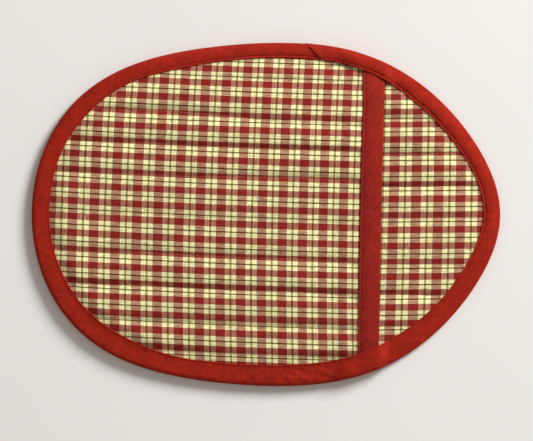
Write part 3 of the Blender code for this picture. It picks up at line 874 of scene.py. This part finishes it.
def plaid(name):
    """Plain-woven plaid: threads counted from the cloth's own coordinates."""
    n = Nodes(name)
    m = n.math
    along, across = n.cloth_place()
    classes, indices, places = [], [], []
    for place, (threads, olive, cream, middle) in ((along, WARP_STRIPES), (across, WEFT_STRIPES)):
        at = m("MULTIPLY_ADD", place, threads, middle)
        index = m("FLOOR", m("ADD", at, 0.5))
        in_repeat = m("WRAP", m("SUBTRACT", index, middle), 0.5 * threads, -0.5 * threads)
        from_middle = m("ABSOLUTE", in_repeat)
        classes.append((m("LESS_THAN", from_middle, olive), m("LESS_THAN", from_middle, cream)))
        indices.append(index)
        places.append(m("COSINE", m("MULTIPLY", at, np.pi)))
    crossing = m("MULTIPLY", places[0], places[1])
    warp_over = n.ramp(crossing, 0.02, 0.2)
    colours, creams, olives, reds = [], [], [], []
    for (olive, light), olive_thread in zip(classes, (OLIVE, OLIVE_WEFT)):
        colours.append(n.mix(olive, n.mix(light, RED, CREAM), olive_thread))
        reds.append(m("SUBTRACT", 1.0, light))
        creams.append(m("SUBTRACT", light, olive))
        olives.append(olive)
    visible = n.mix(warp_over, colours[1], colours[0])
    cream_weft_seen = m("MULTIPLY", creams[1], m("SUBTRACT", 1.0, warp_over))
    cream_seen = m("ADD", m("MULTIPLY", creams[0], warp_over), cream_weft_seen)
    both_cream = m("MULTIPLY", creams[0], creams[1])
    mixed = m("SUBTRACT", cream_seen, m("MULTIPLY", cream_seen, both_cream))
    # Painted shade: cream threads crossing red or olive ones are darkened, with painted red bounce light
    # where they cross red.
    beside_red = n.mix(creams[0], BESIDE_RED_WARP, BESIDE_RED_WEFT)
    shade = n.mix(olives[1], n.mix(olives[0], beside_red, BESIDE_OLIVE), BESIDE_OLIVE_WEFT)
    visible = n.mix(mixed, visible, n.mix(1.0, visible, shade, "MULTIPLY"))
    olive_on_red = m("ADD", m("MULTIPLY", olives[0], reds[1]), m("MULTIPLY", olives[1], reds[0]))
    visible = n.mix(olive_on_red, visible, n.mix(1.0, visible, OLIVE_ON_RED, "MULTIPLY"))
    # Each thread has its own shade, and thickens and thins along its length.
    warp_tone = n.noise(n.vector(m("MULTIPLY", indices[0], 3.7), m("MULTIPLY", across, 2.3)), 1.0)
    weft_tone = n.noise(n.vector(m("MULTIPLY", along, 2.9), m("MULTIPLY", indices[1], 5.3)), 1.0)
    tone = n.add("ShaderNodeMix", Factor=warp_over, A=weft_tone, B=warp_tone)
    worn = n.noise(n.vector(along, across, 3.0), 0.6, 4.0, 0.6)
    level = m("MULTIPLY", n.ramp(tone, 0.25, 0.75, 0.56, 1.34), n.ramp(worn, 0.3, 0.7, 0.93, 1.06))
    # Painted shade in the weave's hollows between the threads' crowns, and painted light on the crowns.
    hills = m("ABSOLUTE", crossing)
    level = m("MULTIPLY", level, n.ramp(hills, 0.0, 0.5, 0.84, 1.06))
    fibre = n.noise(n.vector(m("MULTIPLY", along, 24.0), m("MULTIPLY", across, 18.0)), 1.0, 3.0, 0.75)
    level = m("MULTIPLY", level, n.ramp(fibre, 0.32, 0.68, 0.83, 1.13))
    grey = n.vector(level, level, level)
    colour = n.mix(1.0, visible, grey, "MULTIPLY")
    n.put(n.shader.inputs["Base Color"], colour)
    n.shader.inputs["Roughness"].default_value = 0.92
    n.shader.inputs["Specular IOR Level"].default_value = 0.1
    n.shader.inputs["Sheen Weight"].default_value = 0.03
    n.shader.inputs["Sheen Roughness"].default_value = 0.5
    weave = m("POWER", hills, 0.6)
    n.put(n.shader.inputs["Normal"], n.bump(weave, 0.09 * MM, 0.6))
    return n.material


COTTON_WAVE = 0.9  # mm, along and across added up, in one wave of the plain cotton's weave


def cotton(name, colour, worn_colour, dark_colour):
    """Plain rust cotton cut on the bias."""
    n = Nodes(name)
    m = n.math
    along, across = n.cloth_place()
    pace = TURN / COTTON_WAVE
    warp = m("SINE", m("MULTIPLY", m("ADD", along, across), pace))
    weft = m("SINE", m("MULTIPLY", m("SUBTRACT", along, across), pace))
    weave = m("MULTIPLY", warp, weft)
    place = n.vector(along, across)
    patches = n.noise(place, 0.12, 5.0, 0.62)
    fibres = n.noise(place, 1.6, 3.0, 0.7)
    base = n.mix(n.ramp(patches, 0.3, 0.72), dark_colour, colour)
    base = n.mix(n.ramp(fibres, 0.42, 0.8, 0.0, 0.55), base, worn_colour)
    mottle = n.noise(place, 0.45, 3.0, 0.65)
    # Painted shade in the weave's hollows and painted light on its crowns, from the same weave that makes
    # the bump.
    level = m("MULTIPLY", n.ramp(weave, -1.0, 1.0, 0.86, 1.1), n.ramp(fibres, 0.25, 0.75, 0.9, 1.1))
    level = m("MULTIPLY", level, n.ramp(mottle, 0.3, 0.7, 0.85, 1.14))
    base = n.mix(1.0, base, n.vector(level, level, level), "MULTIPLY")
    n.put(n.shader.inputs["Base Color"], base)
    n.shader.inputs["Roughness"].default_value = 0.86
    n.shader.inputs["Specular IOR Level"].default_value = 0.07
    n.shader.inputs["Sheen Weight"].default_value = 0.16
    n.shader.inputs["Sheen Roughness"].default_value = 0.35
    n.shader.inputs["Sheen Tint"].default_value = (1.0, 0.33, 0.2, 1.0)
    height = m("ADD", m("MULTIPLY", weave, 0.35), m("MULTIPLY", fibres, 0.8))
    n.put(n.shader.inputs["Normal"], n.bump(height, 0.12 * MM, 0.6))
    return n.material


def thread(name, colour, lighter):
    """Sewing thread: twisted plies, a little lustre."""
    n = Nodes(name)
    place = n.add("ShaderNodeTexCoord", 3)
    n.put(n.shader.inputs["Base Color"], n.mix(n.ramp(n.noise(place, 900.0), 0.35, 0.65), colour, lighter))
    n.shader.inputs["Roughness"].default_value = 0.7
    n.shader.inputs["Specular IOR Level"].default_value = 0.3
    n.put(n.shader.inputs["Normal"], n.bump(n.noise(place, 2600.0), 0.05 * MM, 0.5))
    return n.material


# ---------------------------------------------------------------- the object
plaid_pad = plaid("plaid_pad")
plaid_pocket = plaid("plaid_pocket")
rust_edge = cotton(
    "rust_edge",
    colour=(0.355, 0.0183, 0.0079, 1.0),
    worn_colour=(0.45, 0.032, 0.0135, 1.0),
    dark_colour=(0.265, 0.013, 0.0065, 1.0),
)
rust_mouth = cotton(
    "rust_mouth",
    colour=(0.295, 0.018, 0.0118, 1.0),
    worn_colour=(0.37, 0.031, 0.019, 1.0),
    dark_colour=(0.23, 0.0135, 0.0095, 1.0),
)
rust_thread = thread("rust_thread", (0.085, 0.008, 0.007, 1.0), (0.17, 0.015, 0.01, 1.0))
quilt_thread = thread("quilt_thread", (0.26, 0.15, 0.06, 1.0), (0.4, 0.27, 0.12, 1.0))

pad, (pad_plan, pad_places, pad_top, pad_under) = make_pad(plaid_pad)
pocket, (pocket_plan, pocket_places, pocket_top, _) = make_pocket(plaid_pocket)
edge, (edge_wide, edge_long) = make_edge(rust_edge)
mouth, (mouth_wide, mouth_long) = make_mouth(rust_mouth)


def pad_top_shows(row):
    return (row[:, 0] > mouth_x(row[:, 1]) - 8.0 * MM) & (depth_of(row) > STITCHED_FROM)


def pad_under_shows(row):
    return depth_of(row) > UNDER_FLAP_WIDTH - 1.0 * MM


def pocket_shows(row):
    return (row[:, 0] < mouth_x(row[:, 1]) - STRIP_WIDTH + 1.0 * MM) & (depth_of(row) > STITCHED_FROM)


pad_stitches = quilt_rows("pad_stitches", pad_plan, pad_places, pad_top, 1.0, pad_top_shows, quilt_thread)
under_stitches = quilt_rows(
    "under_stitches", pad_plan, pad_places, pad_under, -1.0, pad_under_shows, quilt_thread
)
pocket_stitches = quilt_rows(
    "pocket_stitches", pocket_plan, pocket_places, pocket_top, 1.0, pocket_shows, quilt_thread
)

round_angles = np.linspace(JOIN_OUTER + 0.01, TURN + JOIN_INNER - 0.02, 900)
seam_depth = flap_width(round_angles) - SEAM_IN
flap_z = stack_under_flap(inset(round_angles, seam_depth)) + FLAP_GAP + 0.5 * CLOTH + LAYER
seam_z = flap_z + lap_lift(round_angles) - EDGE_SUNK
edge_stitches = edge_row("edge_stitches", round_angles, seam_depth, seam_z, 1.0, rust_thread)
under_depth = np.full(len(round_angles), UNDER_FLAP_WIDTH - SEAM_IN)
under_z = np.full(len(round_angles), UNDER_SEAM_Z)
under_edge = edge_row("edge_stitches_under", round_angles, under_depth, under_z, -1.0, rust_thread)

ys = np.linspace(-88.0, 88.0, 500) * MM
line = np.stack([mouth_x(ys) - STRIP_WIDTH + SEAM_IN, ys], axis=-1)
depths = depth_of(line)
strip_z = pocket_under(line, depths) + panel_thickness(line, depths) + STRIP_GAP + 0.5 * CLOTH + LAYER
seam = np.column_stack([line, strip_z - MOUTH_SUNK])[depths > 8.0 * MM]
mouth_stitches = add_stitches(
    "mouth_stitches", *along_line(seam, 97), 1.0, rust_thread, EDGE_STITCH_LENGTH, MOUTH_THREAD
)

for piece, node, slot_name in (
    (pad, "base_pad", "plaid_pad"),
    (pocket, "pocket_panel", "plaid_pocket"),
    (edge, "edge_binding", "rust_edge"),
    (mouth, "mouth_binding", "rust_mouth"),
):
    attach(piece, "root")
    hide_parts(node)
for piece, slot_name in (
    (pad_stitches, "plaid_pad"),
    (under_stitches, "plaid_pad"),
    (pocket_stitches, "plaid_pocket"),
    (edge_stitches, "rust_edge"),
    (under_edge, "rust_edge"),
    (mouth_stitches, "rust_mouth"),
):
    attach(piece, "root")


# ---------------------------------------------------------------- floor, light and camera
FLOOR_REACH = 4.0
FLOOR_Z = -0.1 * MM  # just below the underside
WINDOW_AT = (1.62, 1.6, 1.46)
CAMERA_AT = (0.0003, -0.0035, 1.905)


def make_floor():
    n = Nodes("floor_paper")
    place = n.add("ShaderNodeTexCoord", 3)
    tone = n.mix(n.noise(place, 3.0, 3.0), (0.78, 0.77, 0.75, 1.0), (0.82, 0.81, 0.79, 1.0))
    n.put(n.shader.inputs["Base Color"], tone)
    n.shader.inputs["Roughness"].default_value = 0.9
    reach, z = FLOOR_REACH, FLOOR_Z
    corners = np.array([(-reach, -reach, z), (reach, -reach, z), (reach, reach, z), (-reach, reach, z)])
    floor = add_mesh("floor", corners, [(0, 1, 2, 3)], n.material)


make_floor()
world = bpy.data.worlds.new("studio")
world.use_nodes = True
world.node_tree.nodes["Background"].inputs[0].default_value = (1.0, 0.955, 0.89, 1.0)
world.node_tree.nodes["Background"].inputs[1].default_value = 0.38
bpy.context.scene.world = world

light = bpy.data.lights.new("window", "AREA")
light.shape = "DISK"
light.size = 1.1
light.energy = 88.0
light.color = (1.0, 0.995, 0.99)
window = bpy.data.objects.new("window", light)
window.location = WINDOW_AT
window.rotation_mode = "QUATERNION"
window.rotation_quaternion = (-Vector(WINDOW_AT)).to_track_quat("-Z", "Y")
bpy.context.scene.collection.objects.link(window)
bpy.context.scene.view_settings.view_transform = "Standard"

camera_data = bpy.data.cameras.new("camera")
camera_data.sensor_width = 36.0
camera_data.lens = 221.0
camera = bpy.data.objects.new("camera", camera_data)
camera.location = CAMERA_AT
camera.rotation_euler = (0.0, 0.0, 0.0)
bpy.context.scene.collection.objects.link(camera)
bpy.context.scene.camera = camera
